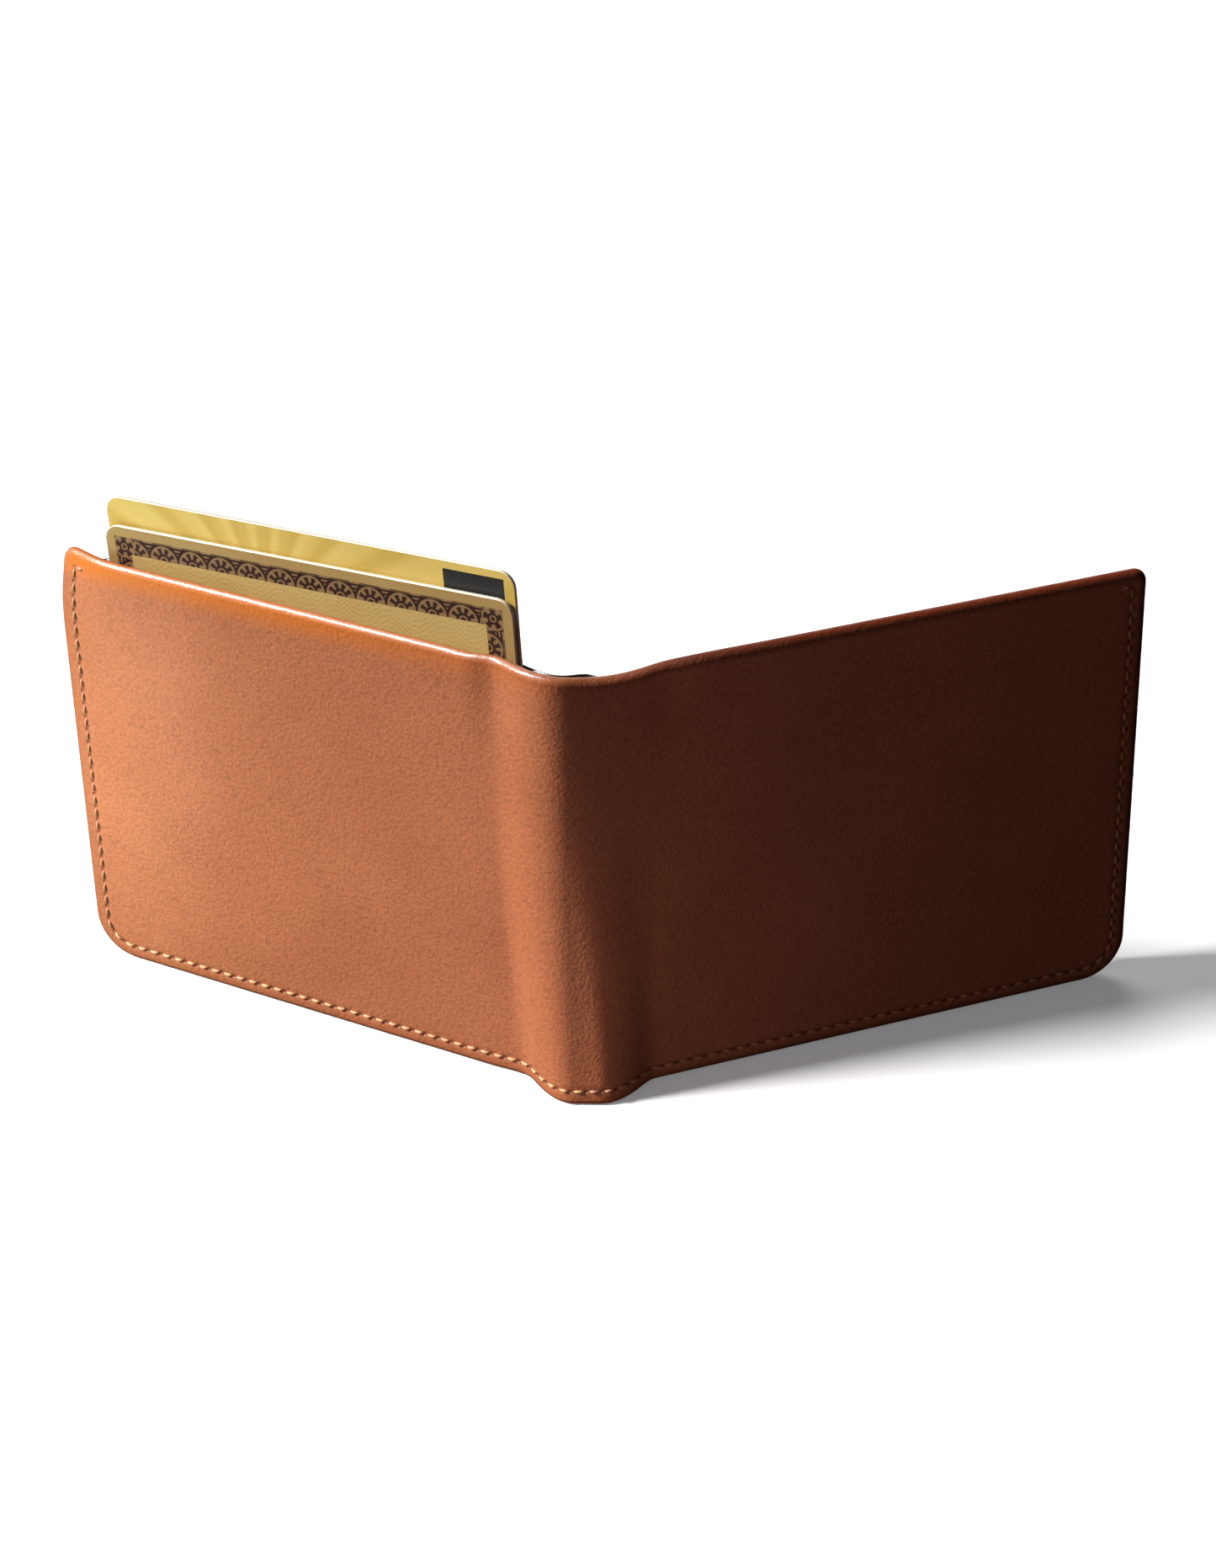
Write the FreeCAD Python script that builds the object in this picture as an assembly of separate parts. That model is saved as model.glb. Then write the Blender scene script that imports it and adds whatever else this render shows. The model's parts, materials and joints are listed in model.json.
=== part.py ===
import FreeCAD, Part

import math
import os

# A bifold wallet standing half open on its long lower edges. Lengths are in millimetres, angles in degrees.
#
# Each half is drawn in its own panel frame and then turned into place. In a panel frame
#   X runs along the panel from the fold line to the free edge,
#   Y is the depth inwards from the outer face of the cover, and
#   Z is up, with the table at 0.
# The spine is drawn in the wallet's frame, bulging towards -Y between the two fold lines.

# Driving dimensions
HEIGHT = 87.5  # table to the top of the cover
PANEL = 98.0  # fold line to free edge
OPENING = 132.0  # angle between the two halves
SPINE_WIDTH = 20.0  # fold line to fold line
BULGE_FOOT = 7.6  # how far the spine stands out at the table
BULGE_TOP = 3.1  # and at the top of the cover
FOOT_RADIUS = 8.5  # lower outer corner of a cover
TOP_RADIUS = 2.6  # upper outer corner of a cover
FOLD_GAP = 0.3  # a half starts this far from its fold line

# Sheet thicknesses
LEATHER = 1.0  # outer cover
HEM = 0.8  # the skived edge of the cover, turned over the board
BOARD = 0.4  # board under the turned hem
LINING = 0.3
THIN_LEATHER = 0.6  # divider
SLOT_LEATHER = 0.55
POCKET_LEATHER = 0.5

# The cover's turned edge
HEM_WIDTH = 9.0
EDGE_PLAY = 0.1  # between the board and the fold of leather around it

# The cash pocket, between the cover's lining and the divider
DIVIDER_DROP = 3.5  # the divider stops this far below the cover's top
DIVIDER_INSET = 0.8  # its seam allowance stops this far inside the cover's edge
DIVIDER_DEPTH = {"left": 6.6, "right": 3.3}  # where the divider's outer side stands
SEAM_INSET = 3.0  # the seam runs this far inside the edge
ALLOWANCE = 3.8  # width of the divider's flat seam allowance
WALL_SLOPE = 0.45  # how far the divider's wall leans in per millimetre of depth
CORNER_RADIUS = 3.5  # the raised field's lower outer corner

# Three card slots on the inner side of each divider, upper to lower
SLOT_TOPS = (73.5, 61.5, 49.5)
SLOT_REACH = 47.0  # height of a slot's sheet
SLOT_START = 2.2
SLOT_END = 92.2
SLOT_FOOT = 5.8
SLOT_PITCH = 0.85
SLOT_GAP = 0.3
STRIP = 1.5  # width of a seam strip

# The hidden card pocket inside the left cash pocket
HIDDEN_DEPTH = 3.3
HIDDEN_START = 0.35
HIDDEN_END = 91.6
HIDDEN_FOOT = 28.0
HIDDEN_TOP = 80.0
HIDDEN_SIDE_SEAM = 0.3
HIDDEN_SEAM = 1.4

# Two cards of the standard size. Each has a tilt, the place of its upper corner by the spine, and a depth.
CARD_LENGTH = 85.6
CARD_HEIGHT = 53.98
CARD_THICK = 0.76
CARD_RADIUS = 3.18
CARDS = {
    "card_front": {"tilt": 2.7, "along": 3.6, "height": 97.5, "depth": 4.15},
    "card_rear": {"tilt": 2.5, "along": 3.75, "height": 102.4, "depth": 5.5},
}

# Seam threads, laid as a bead on the leather
THREAD_WIDTH = 0.45
THREAD_HIGH = 0.25
TACK = 2.6  # the short turn of stitches at the upper end of the seam

# Spine layers
SPINE_PLAY = 0.1
SPINE_POCKET = 0.4  # cash pocket between the spine's lining and its divider

PAST = 5.0  # how far a cutting shape runs past an open side

# Worked out from the dimensions above
LEAN = 90.0 - OPENING / 2
FOLD = SPINE_WIDTH / 2
LINING_DEPTH = LEATHER + BOARD + HEM
FLANGE_DEPTH = LINING_DEPTH + LINING
DIVIDER_TOP = HEIGHT - DIVIDER_DROP


def vec(x, y, z):
    return FreeCAD.Vector(x, y, z)


def corner(x, z, radius, start):
    """A quarter of a circle about (x, z), from the angle start and turning from X towards Z."""
    def at(turn):
        angle = math.radians(start + turn)
        return vec(x + radius * math.cos(angle), 0, z + radius * math.sin(angle))
    return Part.Arc(at(0), at(45), at(90)).toShape()


def outline(x0, x1, z0, z1, foot_radius, top_radius):
    """A panel's edge in the plane Y = 0, with the two corners of the free side round."""
    foot = max(foot_radius, 0.0)
    top = max(top_radius, 0.0)
    edges = [Part.makeLine(vec(x0, 0, z0), vec(x1 - foot, 0, z0))]
    if foot:
        edges.append(corner(x1 - foot, z0 + foot, foot, -90))
    edges.append(Part.makeLine(vec(x1, 0, z0 + foot), vec(x1, 0, z1 - top)))
    if top:
        edges.append(corner(x1 - top, z1 - top, top, 0))
    edges.append(Part.makeLine(vec(x1 - top, 0, z1), vec(x0, 0, z1)))
    edges.append(Part.makeLine(vec(x0, 0, z1), vec(x0, 0, z0)))
    return Part.Wire(edges)


def sheet(depth, thick, x0, x1, z0, z1, foot_radius=0.0, top_radius=0.0):
    """A flat sheet whose outer side stands at the given depth."""
    face = Part.Face(outline(x0, x1, z0, z1, foot_radius, top_radius))
    face.translate(vec(0, depth, 0))
    return face.extrude(vec(0, thick, 0))


def inset_sheet(depth, thick, inset, open_sides=False):
    """A sheet of the cover's outline drawn in by inset. open_sides runs it out past the top and the fold."""
    x0 = FOLD_GAP - (PAST if open_sides else 0)
    z1 = HEIGHT + PAST if open_sides else HEIGHT - inset
    top_radius = 0.0 if open_sides else TOP_RADIUS - inset
    return sheet(depth, thick, x0, PANEL - inset, inset, z1, FOOT_RADIUS - inset, top_radius)


def outer_cover():
    """The cover leather, with its edge turned round the board on the top, the free side and the foot."""
    body = inset_sheet(0, LINING_DEPTH, 0)
    x0 = FOLD_GAP - PAST
    board_room = sheet(LEATHER, BOARD, x0, PANEL - LEATHER, LEATHER, HEIGHT - LEATHER,
                       FOOT_RADIUS - LEATHER, TOP_RADIUS - LEATHER)
    field = sheet(LEATHER, BOARD + HEM, x0, PANEL - HEM_WIDTH, HEM_WIDTH, HEIGHT - HEM_WIDTH)
    return body.cut(board_room.fuse(field)).removeSplitter()


def cover_board():
    """The board inside the cover: thin under the hem, and full thickness inside it."""
    under_hem = inset_sheet(LEATHER, BOARD, LEATHER + EDGE_PLAY)
    field_inset = HEM_WIDTH + EDGE_PLAY
    field = sheet(LEATHER, BOARD + HEM, FOLD_GAP, PANEL - field_inset, field_inset, HEIGHT - field_inset)
    return under_hem.fuse(field).removeSplitter()


def cash_lining():
    """The lining on the inner side of the cover. The turned hem shows above it."""
    return sheet(LINING_DEPTH, LINING, FOLD_GAP, PANEL - DIVIDER_INSET, DIVIDER_INSET,
                 HEIGHT - HEM_WIDTH, FOOT_RADIUS - DIVIDER_INSET)


def field_loft(inset_near, inset_far, near, far, x0, z1):
    """A block between two depths whose foot and free side lean in."""
    wires = []
    for inset, depth in ((inset_near, near), (inset_far, far)):
        wire = outline(x0, PANEL - inset, inset, z1, CORNER_RADIUS, 0.0)
        wire.translate(vec(0, depth, 0))
        wires.append(wire)
    return Part.makeLoft(wires, True, True)


def divider(depth):
    """The cash pocket's inner wall, open at its top: a flat allowance, a leaning wall, a raised field."""
    rise = depth - FLANGE_DEPTH
    lean = rise * WALL_SLOPE
    far = depth + THIN_LEATHER
    flange = sheet(FLANGE_DEPTH, THIN_LEATHER, FOLD_GAP, PANEL - DIVIDER_INSET, DIVIDER_INSET,
                   DIVIDER_TOP, FOOT_RADIUS - DIVIDER_INSET)
    outer = field_loft(ALLOWANCE, ALLOWANCE + lean, FLANGE_DEPTH, far, FOLD_GAP, DIVIDER_TOP)
    inner_inset = ALLOWANCE + THIN_LEATHER
    inner = field_loft(inner_inset, inner_inset + lean, FLANGE_DEPTH, depth, FOLD_GAP - PAST,
                       DIVIDER_TOP + PAST)
    return flange.fuse(outer).cut(inner).removeSplitter()


def slot_depth(divider_depth, index):
    return divider_depth + THIN_LEATHER + SLOT_GAP + index * SLOT_PITCH


def slot_foot(index):
    return max(SLOT_TOPS[index] - SLOT_REACH, SLOT_FOOT)


def card_slot(divider_depth, index):
    return sheet(slot_depth(divider_depth, index), SLOT_LEATHER, SLOT_START, SLOT_END,
                 slot_foot(index), SLOT_TOPS[index])


def slot_seams(divider_depth):
    """The strips that join each slot's sheet to what is behind it, down each side and along its foot."""
    strips = []
    back = divider_depth + THIN_LEATHER
    for index in range(len(SLOT_TOPS)):
        front = slot_depth(divider_depth, index)
        foot = slot_foot(index)
        strips.append(sheet(back, front - back, SLOT_START, SLOT_END, foot, foot + STRIP))
        side_foot = foot + STRIP if index == 0 else slot_foot(index - 1)
        for x0 in (SLOT_START, SLOT_END - STRIP):
            strips.append(sheet(front - SLOT_GAP, SLOT_GAP, x0, x0 + STRIP, side_foot,
                                SLOT_TOPS[index]))
    return Part.makeCompound(strips)


def slot_thread(divider_depth):
    """The stitched line beside the spine, where it shows on each slot."""
    lines = []
    middle = SLOT_START + STRIP / 2
    for index, top in enumerate(SLOT_TOPS):
        last = index + 1 == len(SLOT_TOPS)
        foot = slot_foot(index) if last else SLOT_TOPS[index + 1]
        face = slot_depth(divider_depth, index) + SLOT_LEATHER
        lines.append(sheet(face, THREAD_HIGH, middle - THREAD_WIDTH / 2, middle + THREAD_WIDTH / 2,
                           foot, top))
    return Part.makeCompound(lines)


def seam_bead(depth, top):
    """A bead of thread that follows the free side and the foot at the seam's inset."""
    outer_inset = SEAM_INSET - THREAD_WIDTH / 2
    inner_inset = SEAM_INSET + THREAD_WIDTH / 2
    x0 = FOLD_GAP + THREAD_WIDTH
    block = sheet(depth, THREAD_HIGH, x0, PANEL - outer_inset, outer_inset, top,
                  FOOT_RADIUS - outer_inset)
    return block.cut(inset_sheet(depth, THREAD_HIGH, inner_inset, open_sides=True))


def seam_thread():
    """The edge seam: the bead on the cover, with its tack at the top, and the bead on the divider's side."""
    top = HEIGHT - SEAM_INSET
    tack = sheet(-THREAD_HIGH, THREAD_HIGH, PANEL - SEAM_INSET - TACK, PANEL - SEAM_INSET,
                 top - THREAD_WIDTH, top)
    outside = seam_bead(-THREAD_HIGH, top).fuse(tack).removeSplitter()
    inside = seam_bead(FLANGE_DEPTH + THIN_LEATHER, DIVIDER_TOP - SEAM_INSET)
    return Part.makeCompound([outside, inside])


def hidden_pocket():
    return sheet(HIDDEN_DEPTH, POCKET_LEATHER, HIDDEN_START, HIDDEN_END, HIDDEN_FOOT, HIDDEN_TOP)


def hidden_pocket_seams():
    """The seam allowances that join the hidden pocket to the divider behind it."""
    back = HIDDEN_DEPTH + POCKET_LEATHER
    reach = DIVIDER_DEPTH["left"] - back
    foot = HIDDEN_FOOT + HIDDEN_SEAM
    return Part.makeCompound([
        sheet(back, reach, HIDDEN_START, HIDDEN_END, HIDDEN_FOOT, foot),
        sheet(back, reach, HIDDEN_START, HIDDEN_START + HIDDEN_SIDE_SEAM, foot, HIDDEN_TOP),
        sheet(back, reach, HIDDEN_END - HIDDEN_SEAM, HIDDEN_END, foot, HIDDEN_TOP),
    ])


def card(tilt, along, height, depth):
    """A card placed by its upper corner beside the spine, with its far end tilted down."""
    middle = CARD_LENGTH / 2
    far_half = sheet(0, CARD_THICK, middle, CARD_LENGTH, -CARD_HEIGHT, 0, CARD_RADIUS, CARD_RADIUS)
    near_half = far_half.mirror(vec(middle, 0, 0), vec(1, 0, 0))
    shape = far_half.fuse(near_half).removeSplitter()
    shape.rotate(vec(0, 0, 0), vec(0, 1, 0), tilt)
    shape.translate(vec(along, depth, height))
    return shape


def bulge_at(z):
    return BULGE_FOOT + (BULGE_TOP - BULGE_FOOT) * z / HEIGHT


def spine_band(inset, thick, z0, z1):
    """A curved strip of the spine, its outer side drawn in by inset."""
    wires = []
    for z in (z0, z1):
        outer = FOLD - inset
        inner = outer - thick
        outer_bulge = bulge_at(z) - inset
        edges = [
            Part.Arc(vec(-outer, 0, z), vec(0, -outer_bulge, z), vec(outer, 0, z)).toShape(),
            Part.makeLine(vec(outer, 0, z), vec(inner, 0, z)),
            Part.Arc(vec(inner, 0, z), vec(0, thick - outer_bulge, z), vec(-inner, 0, z)).toShape(),
            Part.makeLine(vec(-inner, 0, z), vec(-outer, 0, z)),
        ]
        wires.append(Part.Wire(edges))
    return Part.makeLoft(wires, True, True)


def spine():
    cover = spine_band(0, LEATHER, 0, HEIGHT)
    lining_inset = LEATHER + SPINE_PLAY
    divider_inset = lining_inset + LINING + SPINE_POCKET
    bead = spine_band(-THREAD_HIGH, 2 * THREAD_HIGH, SEAM_INSET - THREAD_WIDTH / 2,
                      SEAM_INSET + THREAD_WIDTH / 2)
    return {
        "spine_cover": cover,
        "spine_lining": spine_band(lining_inset, LINING, DIVIDER_INSET, HEIGHT - HEM_WIDTH),
        "spine_divider": spine_band(divider_inset, THIN_LEATHER, DIVIDER_INSET, DIVIDER_TOP),
        "seam_thread_spine": bead.cut(cover),
    }


def half(side):
    """Every piece of one half, in its panel frame."""
    depth = DIVIDER_DEPTH[side]
    pieces = {
        "outer_cover": outer_cover(),
        "cover_board": cover_board(),
        "cash_lining": cash_lining(),
        "divider": divider(depth),
        "slot_seams": slot_seams(depth),
        "slot_thread": slot_thread(depth),
        "seam_thread": seam_thread(),
    }
    for index, name in enumerate(("upper", "middle", "lower")):
        pieces["card_slot_" + name] = card_slot(depth, index)
    named = {name + "_" + side: shape for name, shape in pieces.items()}
    if side == "left":
        named["hidden_pocket"] = hidden_pocket()
        named["hidden_pocket_seams"] = hidden_pocket_seams()
        for name, facts in CARDS.items():
            named[name] = card(**facts)
    return named


def turned(shape, side):
    """Takes a shape from its panel frame to the wallet's frame."""
    sign = 1 if side == "right" else -1
    placed = shape if side == "right" else shape.mirror(vec(0, 0, 0), vec(1, 0, 0))
    placed.rotate(vec(0, 0, 0), vec(0, 0, 1), sign * LEAN)
    placed.translate(vec(sign * FOLD, 0, 0))
    return placed


def build():
    """Every node in the wallet's frame, whose origin is under the middle of the whole, on the table."""
    nodes = spine()
    for side in ("left", "right"):
        for name, shape in half(side).items():
            nodes[name] = turned(shape, side)
    front = min(shape.optimalBoundingBox().YMin for shape in nodes.values())
    back = max(shape.optimalBoundingBox().YMax for shape in nodes.values())
    to_middle = vec(0, -(front + back) / 2, 0)
    for shape in nodes.values():
        shape.translate(to_middle)
    return nodes


def main():
    os.makedirs("parts", exist_ok=True)
    for name, shape in build().items():
        shape.exportStep("parts/" + name + ".step")


main()
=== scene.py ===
import json
import math

import bmesh
import bpy
import numpy as np
from mathutils import Matrix, Vector


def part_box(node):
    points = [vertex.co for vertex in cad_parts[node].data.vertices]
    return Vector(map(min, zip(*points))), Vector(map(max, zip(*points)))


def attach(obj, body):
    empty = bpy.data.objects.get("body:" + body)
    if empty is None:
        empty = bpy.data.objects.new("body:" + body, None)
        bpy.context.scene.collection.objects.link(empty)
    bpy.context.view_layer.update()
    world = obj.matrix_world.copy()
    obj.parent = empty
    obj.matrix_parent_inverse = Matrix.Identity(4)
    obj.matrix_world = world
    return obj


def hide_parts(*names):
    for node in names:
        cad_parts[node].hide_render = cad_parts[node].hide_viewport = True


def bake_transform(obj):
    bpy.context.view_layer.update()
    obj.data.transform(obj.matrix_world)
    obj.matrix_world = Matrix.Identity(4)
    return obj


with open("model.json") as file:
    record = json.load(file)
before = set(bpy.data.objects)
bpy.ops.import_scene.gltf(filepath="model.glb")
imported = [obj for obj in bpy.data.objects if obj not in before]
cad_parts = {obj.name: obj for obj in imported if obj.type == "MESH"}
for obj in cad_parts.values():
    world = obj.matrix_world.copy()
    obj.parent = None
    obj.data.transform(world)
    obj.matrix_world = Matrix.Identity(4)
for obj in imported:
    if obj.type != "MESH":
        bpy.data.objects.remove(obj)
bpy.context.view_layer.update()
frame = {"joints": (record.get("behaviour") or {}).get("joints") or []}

# A bifold wallet of tan leather with a black inside, standing half open. Lengths are in metres.
#
# Every soft piece is drawn in its half's own coordinates and then put in place:
#   along   distance from the spine's middle line towards the free edge, measured along the half
#   depth   distance inwards from the outer face of the cover
#   z       height above the table
MM = 0.001
SIDES = {"left": -1, "right": 1}
JOINTS = {joint["name"]: joint for joint in frame["joints"]}
FOLD_X = JOINTS["right_fold"]["pos_m"][0]
FOLD_Y = JOINTS["right_fold"]["pos_m"][1]
LEAN = math.radians(-JOINTS["right_fold"]["range_deg"][0])
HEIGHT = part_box("outer_cover_right")[1].z
FREE_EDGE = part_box("outer_cover_right")[1].x / math.cos(LEAN)
FOLD_LINE = FOLD_X / math.cos(LEAN)

# The cover
COVER_THICK = 2.2 * MM
LEATHER = 1.0 * MM
HEM_INNER = 1.4 * MM
HEM_WIDTH = 9.0 * MM
HEM_SKIVE = (0.3 * MM, 0.25 * MM)  # width and drop of its thinned edge
HEM_FOLD = 0.15 * MM
EDGE_PLAY = 0.1 * MM
FOLD_GAP = 0.3 * MM
RIM = 1.1 * MM
RIM_REACH = 2.6 * MM  # how far in from an edge the attribute rim fades to 0
FOOT_RADIUS = 8.5 * MM
TOP_RADIUS = 2.6 * MM

# The spine's blunt nose: a nearly flat front between two flanks, widest and furthest out at the
# foot. Its places in Y are measured from the line where the two outer faces would meet.
NOSE_TOP = 1.75 * MM
NOSE_DROP = 4.75 * MM
NOSE_FADE = 1.6
NOSE_SLOPE = (0.03, 0.20)
CORNER_FOOT = -6.0 * MM
CORNER_TOP = -7.8 * MM
CORNER_BOW = 0.95 * MM
FLANK = (1.6, 1.1)
CORNER_SOFT = (6.0 * MM, 8.5 * MM)
SHOULDER = 6.6 * MM
SHOULDER_STEEP = (1.7, 0.6)
SHOULDER_SOFT = 6.8 * MM
VALLEY_SOFT = 1.5 * MM
# Depth is square to the half beyond this distance, and turns to straight back at the middle
LAYER_TURN = 12.0 * MM
# The top edge sags beside the spine, and one upper corner is curled inwards
SAG = 1.7 * MM
SAG_MIDDLE = 6.0 * MM
SAG_WIDTH = 10.0 * MM
SAG_FROM = 74.0 * MM
CURLED_SIDE = "left"
CURL = 2.4 * MM
CURL_REACH = 7.0 * MM
# Where the cover departs from that even shape, in millimetres: place in X, height, size across,
# size up, and depth inwards
RELIEF = (
    (-15.5, 86.0, 3.0, 14.0, 0.8),
    (-19.6, 85.0, 2.3, 10.0, -0.35),
    (-14.0, 16.0, 3.0, 26.0, 0.35),
    (15.0, 82.0, 3.6, 9.0, 0.5),
)

# The seam
SEAM_INSET = 3.0 * MM
PITCH = 2.85 * MM
GROOVE = 0.16 * MM
STITCH_LENGTH = 1.75 * MM
STITCH_WIDTH = 0.62 * MM
STITCH_HIGH = 0.22 * MM
STITCH_SINK = 0.12 * MM
WAVINESS = 0.13 * MM
HOLE = 0.42
FAR_FROM_SEAM = 9.0
SHADED_TURN = 0.6  # the share of the foot corner's turn that has the lighter thread

# The inside
LINING_DEPTH = 2.2 * MM
FLANGE_DEPTH = 2.5 * MM
DIVIDER_DEPTH = {"left": 6.6 * MM, "right": 3.3 * MM}
DIVIDER_SPINE_DEPTH = 8.0 * MM
DIVIDER_THICK = 0.6 * MM
DIVIDER_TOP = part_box("divider_right")[1].z
EDGE_DROP = 0.8 * MM
SLOT_NAMES = ("upper", "middle", "lower")
SLOT_START = FOLD_LINE + 2.2 * MM
SLOT_END = FOLD_LINE + 92.2 * MM
SLOT_THICK = 0.55 * MM
SLOT_GAP = 0.3 * MM
SLOT_PITCH = 0.85 * MM
SLOT_SEAM = 0.75 * MM
SLOT_SEAM_GAPS = (0.4 * MM, 0.6 * MM)  # unsewn at the foot and at the top of each slot
CREASE = 1.7 * MM
HIDDEN_START = 0.35 * MM
HIDDEN_END = 91.6 * MM
HIDDEN_DEPTH = 3.3 * MM
HIDDEN_THICK = 0.5 * MM

# Cards. A corner is along, depth and z of the upper corner beside the spine; a tilt is in degrees.
CARD_LENGTH = 85.6 * MM
CARD_HEIGHT = 53.98 * MM
CARD_THICK = 0.76 * MM
CARD_RADIUS = 3.18 * MM
CARD_BEVEL = 0.09 * MM
CARD_TILTS = {"card_front": 2.7, "card_rear": 2.5}
CARD_CORNERS = {
    "card_front": (FOLD_LINE + 3.6 * MM, 4.15 * MM, 97.5 * MM),
    "card_rear": (FOLD_LINE + 3.75 * MM, 5.5 * MM, 102.4 * MM),
}
# Their print, in millimetres
MARGIN = 2.0
BAND = 3.4
FAN = 6.3
RAY_FOOT = (33.0, 36.0)
PATCH = 12.2
PATCH_PLACE = (77.4, 46.3)
MAGNETIC_STRIPE = (43.5, 6.0)  # middle and half the height, as in the next
SIGNING_STRIP = (29.0, 4.0)
SIGNING_END = 62.0

# Columns of a sheet at the spine's middle, as (from, to, count) in millimetres. Two close together
# keep the shading level across it.
MIDDLE_COLUMNS = (0, 0.02, 2)

# The cover's look: a lit copy of the leather on the left half and a shaded copy on the right,
# differing in gloss and in edge tints that are partly painted light and shade. "spine" is the value at
# the middle.
COAT = {"spine": 0.25, "left": 0.5, "right": 0.05}
SHINE = {"spine": 0.2, "left": 0.35, "right": 0.08}
# The rim's darker orange is partly the rolled edge's own colour and partly painted shade, darker on the
# right half
RIM_TINT_AND_SHADE = {"left": (0.35, 0.088, 0.021), "right": (0.09, 0.017, 0.007)}
RIM_COVER = {"left": 0.7, "right": 0.9}
# A band of painted light and shade below the top edge: deep orange on the left half, dark on the right
TOP_LIGHT_AND_SHADE = {"left": (0.62, 0.165, 0.020), "right": (0.17, 0.024, 0.003)}
# How far below the top edge its tint begins and is full, and how far from the spine each look
# begins to change and is the half's own, in millimetres
TOP_BAND = {"left": (5.4, 1.8), "right": (0.9, 0.2)}
GLOSS_RUN = (1.0, 16.0)
RIM_RUN = (1.0, 20.0)
TOP_RUN = (1.0, 55.0)
# Size of the grain and of the weave, in millimetres
TAN_GRAIN = 0.6
BLACK_GRAIN = 0.55
WEAVE = 0.32

# Camera, in millimetres and degrees
CAMERA_PLACE = (50.2, -547.3, 388.5)
CAMERA_TURN = (-4.92, 31.44, -1.42)  # yaw, pitch and roll
CAMERA_LENS = 81.54
CAMERA_SENSOR = 36.0
CAMERA_CLIP = (0.01, 50.0)

# Suns: azimuth from -X towards -Y and elevation, power, softness in degrees, tint, and the kinds
# of rays that don't see it
SUNS = {
    "key": ((12.5, 36.0), 5.1, 10.0, (1.0, 0.985, 0.96), ()),
    "edge": ((8.0, 58.0), 13.0, 9.0, (1.0, 0.985, 0.96), ("diffuse",)),
    "front": ((34.0, 24.0), 0.235, 45.0, (1.0, 0.82, 1.05), ()),
}
# Panels: place and aim in millimetres, width and height in metres, power, tint, and the rays
PANELS = {
    "side": ((-117.0, -10.0, 46.0), (-88.0, 16.0, 46.0), (0.02, 0.085), 0.030, (0.8, 1.0, 1.08),
             ("glossy", "camera")),
    "over": ((75.0, -70.0, 135.0), (62.0, 0.0, 75.0), (0.12, 0.03), 0.0025, (1.0, 0.78, 1.1),
             ("glossy", "camera")),
    "inside": ((20.0, 180.0, 160.0), (0.0, 0.0, 45.0), (0.18, 0.12), 0.19, (1.0, 0.99, 0.97),
               ("camera",)),
    "bounce": ((-18.0, -95.0, 6.0), (5.0, -25.0, 35.0), (0.09, 0.05), 0.021, (1.0, 0.86, 1.0),
               ("glossy",)),
}
FILL = 0.020
FILL_TINT = (1.0, 0.74, 1.05, 1.0)
FLOOR_SIZE = 8.0
FLOOR_DROP = 0.02 * MM
FLOOR_WHITE = (0.93, 0.93, 0.93)
FLOOR_GLOW = 0.155
FLOOR_SHADE = (0.94, 1.0, 0.97)


def rise(value, low, high):
    """A smooth step from 0 at low to 1 at high."""
    t = np.clip((value - low) / (high - low), 0.0, 1.0)
    return t * t * (3 - 2 * t)


# ---- The wallet's surface

def soft_max(a, b, width):
    """The larger of two values, rounded off where they differ by less than width."""
    near = np.maximum(width - np.abs(a - b), 0.0)
    return np.maximum(a, b) + near ** 2 / (4 * width)


def soft_min(a, b, width):
    return -soft_max(-a, -b, width)


def between(pair, low):
    """From the first of a pair at the foot, where low is 1, to the second at the top."""
    return pair[1] + (pair[0] - pair[1]) * low


def outer_y(x, z, cover):
    """Where the outer face stands in Y, at the distance x from the spine's middle plane."""
    up = np.clip(z / HEIGHT, 0.0, 1.0)
    low = (1 - up) ** NOSE_FADE
    slope = between(NOSE_SLOPE, low)
    face = NOSE_TOP - NOSE_DROP * low
    corner = (CORNER_FOOT + (CORNER_TOP - CORNER_FOOT) * np.sin(up * math.pi / 2)
              - CORNER_BOW * np.sin(up * math.pi))
    left_flank = face + slope * corner - between(FLANK, low) * (x - corner)
    right_flank = face + slope * SHOULDER + between(SHOULDER_STEEP, low) * (x - SHOULDER)
    lean = math.tan(LEAN)
    left = soft_min(-lean * x, left_flank, VALLEY_SOFT)
    right = soft_min(lean * x, right_flank, VALLEY_SOFT)
    nose = soft_max(left, face + slope * x, between(CORNER_SOFT, low))
    y = FOLD_Y - lean * FOLD_X + soft_max(nose, right, SHOULDER_SOFT)
    if cover:
        for across, height, wide, tall, depth in RELIEF:
            spread = ((x / MM - across) / wide) ** 2 + ((z / MM - height) / tall) ** 2
            y = y + depth * MM * np.exp(-spread)
    return y


def place(side, along, depth, z, cover=False, stiff=False):
    """Points in the wallet's frame, as an array whose last axis is X, Y, Z. cover adds the relief of
    the cover's outer side, and stiff is for a piece that doesn't bend with the leather."""
    along, depth, z = np.broadcast_arrays(along, depth, z)
    across = along * math.cos(LEAN)
    if stiff:
        turn = LEAN
        outer = FOLD_Y + math.tan(LEAN) * (across - FOLD_X)
    else:
        if side == CURLED_SIDE:
            from_corner = np.hypot(FREE_EDGE - along, HEIGHT - z)
            depth = depth + CURL * np.exp(-(from_corner / CURL_REACH) ** 2)
        turn = LEAN * np.sin(np.minimum(across / LAYER_TURN, 1.0) * math.pi / 2)
        outer = outer_y(SIDES[side] * across, z, cover)
        spread = ((SIDES[side] * across - SAG_MIDDLE) / SAG_WIDTH) ** 2
        z = z - SAG * np.exp(-spread) * rise(z, SAG_FROM, HEIGHT)
    x = SIDES[side] * (across - depth * np.sin(turn))
    return np.stack([x, outer + depth * np.cos(turn), z], axis=-1)


# ---- Meshes

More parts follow.
